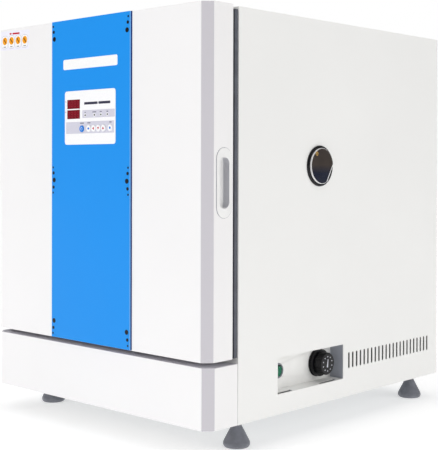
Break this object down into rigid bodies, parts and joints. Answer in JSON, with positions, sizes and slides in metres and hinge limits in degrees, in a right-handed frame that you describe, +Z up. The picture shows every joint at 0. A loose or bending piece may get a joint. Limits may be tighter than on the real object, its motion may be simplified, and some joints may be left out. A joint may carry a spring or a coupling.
{
  "type": "benchtop sterilizer cabinet",
  "caption": "White benchtop hot-air sterilizer cabinet with a full-height hinged door, blue control fascia, side access port, control pocket and levelling feet.",
  "frame": {"origin": "on the standing surface, under the middle of the cabinet", "axes": "+Z up, the door faces -Y, +X towards the side with the control pocket and the access port"},
  "size_m": [0.5418, 0.6459, 0.687],
  "materials": {
    "cabinet_paint": "satin",
    "door_paint": "satin",
    "blue_paint": "satin",
    "galvanised": "matte",
    "zinc_steel": "satin",
    "stainless": "satin",
    "bright_wire": "polished",
    "mineral_wool": "matte",
    "motor_paint": "satin",
    "fan_aluminium": "satin",
    "heater_sheath": "matte",
    "copper_tube": "satin",
    "brass": "satin",
    "black_chrome": "gloss",
    "smoked_mirror": "polished",
    "white_plastic": "satin",
    "grey_plastic": "satin",
    "green_plastic": "gloss",
    "black_plastic": "satin",
    "foot_rubber": "satin",
    "gasket_rubber": "satin",
    "cable_black": "satin",
    "circuit_board": "satin",
    "overlay_film": "satin",
    "display_red": "gloss",
    "key_blue": "satin",
    "key_white": "satin",
    "pull_plastic": "satin",
    "nylon": "satin"
  },
  "bodies": {
    "cabinet": {"base_pan": "galvanised", "foot_studs": "zinc_steel", "foot_nuts": "zinc_steel", "left_side_panel": "cabinet_paint", "right_side_panel": "cabinet_paint", "top_panel": "cabinet_paint", "rear_panel": "cabinet_paint", "front_frame": "cabinet_paint", "plinth_cover": "door_paint", "chamber_liner": "stainless", "cabinet_insulation": "mineral_wool", "shelf_rails": "stainless", "shelf_lower": "bright_wire", "shelf_upper": "bright_wire", "rear_baffle": "stainless", "panel_screws": "zinc_steel", "fan_motor": "motor_paint", "heater_element": "heater_sheath", "sensor_probe": "stainless", "limiter_capillary": "copper_tube", "port_tube": "stainless", "port_bezel": "black_chrome", "port_pivot_screw": "brass", "control_pocket": "white_plastic", "power_switch_body": "grey_plastic", "limiter_body": "black_plastic", "limiter_bezel": "black_plastic", "hinge_brackets": "zinc_steel", "power_inlet": "black_plastic", "power_board": "circuit_board", "solid_state_relay": "fan_aluminium", "base_harness": "cable_black"},
    "door": {"door_shell": "door_paint", "blue_fascia": "blue_paint", "fascia_studs": "black_plastic", "control_overlay": "overlay_film", "display_modules": "display_red", "led_indicators": "black_plastic", "controller_board": "circuit_board", "door_liner": "stainless", "door_insulation": "mineral_wool", "door_gasket": "gasket_rubber", "handle_cup": "pull_plastic", "hinge_bushes": "nylon", "door_harness": "cable_black"},
    "port_cover": {"port_cover": "smoked_mirror"},
    "power_rocker": {"power_rocker": "green_plastic"},
    "limiter_knob": {"limiter_knob": "black_plastic"},
    "fan": {"fan_impeller": "fan_aluminium", "fan_shaft": "zinc_steel"},
    "front_left_foot": {"foot_pad_front_left": "foot_rubber"},
    "rear_left_foot": {"foot_pad_rear_left": "foot_rubber"},
    "front_right_foot": {"foot_pad_front_right": "foot_rubber"},
    "rear_right_foot": {"foot_pad_rear_right": "foot_rubber"},
    "power_key": {"power_key": "key_blue"},
    "mode_key": {"mode_key": "key_white"},
    "left_key": {"left_key": "key_white"},
    "down_key": {"down_key": "key_white"},
    "up_key": {"up_key": "key_white"},
    "set_key": {"set_key": "key_white"}
  },
  "joints": [
    {"name": "door_hinge", "type": "hinge", "parent": "cabinet", "child": "door", "pos_m": [-0.2545, -0.28, 0.4], "axis": [0, 0, -1], "range_deg": [0, 110]},
    {"name": "port_cover_swing", "type": "hinge", "parent": "cabinet", "child": "port_cover", "pos_m": [0.2725, -0.064, 0.4623], "axis": [1, 0, 0], "range_deg": [0, 180]},
    {"name": "power_rocker_tilt", "type": "hinge", "parent": "cabinet", "child": "power_rocker", "pos_m": [0.236, -0.1226, 0.107], "axis": [0, -1, 0], "range_deg": [0, 20]},
    {"name": "limiter_dial", "type": "hinge", "parent": "cabinet", "child": "limiter_knob", "pos_m": [0.25, -0.018, 0.107], "axis": [1, 0, 0], "range_deg": [0, 300]},
    {"name": "fan_spin", "type": "hinge", "parent": "cabinet", "child": "fan", "pos_m": [0, 0.2, 0.45], "axis": [0, 1, 0], "continuous": true},
    {"name": "power_key_press", "type": "slide", "parent": "door", "child": "power_key", "axis": [0, 1, 0], "range_m": [0, 0.0007], "stiffness_N_per_m": 800, "springref_m": -0.001},
    {"name": "mode_key_press", "type": "slide", "parent": "door", "child": "mode_key", "axis": [0, 1, 0], "range_m": [0, 0.0007], "stiffness_N_per_m": 800, "springref_m": -0.001},
    {"name": "left_key_press", "type": "slide", "parent": "door", "child": "left_key", "axis": [0, 1, 0], "range_m": [0, 0.0007], "stiffness_N_per_m": 800, "springref_m": -0.001},
    {"name": "down_key_press", "type": "slide", "parent": "door", "child": "down_key", "axis": [0, 1, 0], "range_m": [0, 0.0007], "stiffness_N_per_m": 800, "springref_m": -0.001},
    {"name": "up_key_press", "type": "slide", "parent": "door", "child": "up_key", "axis": [0, 1, 0], "range_m": [0, 0.0007], "stiffness_N_per_m": 800, "springref_m": -0.001},
    {"name": "set_key_press", "type": "slide", "parent": "door", "child": "set_key", "axis": [0, 1, 0], "range_m": [0, 0.0007], "stiffness_N_per_m": 800, "springref_m": -0.001},
    {"name": "front_left_foot_level", "type": "slide", "parent": "cabinet", "child": "front_left_foot", "axis": [0, 0, -1], "range_m": [0, 0.012]},
    {"name": "rear_left_foot_level", "type": "slide", "parent": "cabinet", "child": "rear_left_foot", "axis": [0, 0, -1], "range_m": [0, 0.012]},
    {"name": "front_right_foot_level", "type": "slide", "parent": "cabinet", "child": "front_right_foot", "axis": [0, 0, -1], "range_m": [0, 0.012]},
    {"name": "rear_right_foot_level", "type": "slide", "parent": "cabinet", "child": "rear_right_foot", "axis": [0, 0, -1], "range_m": [0, 0.012]}
  ]
}
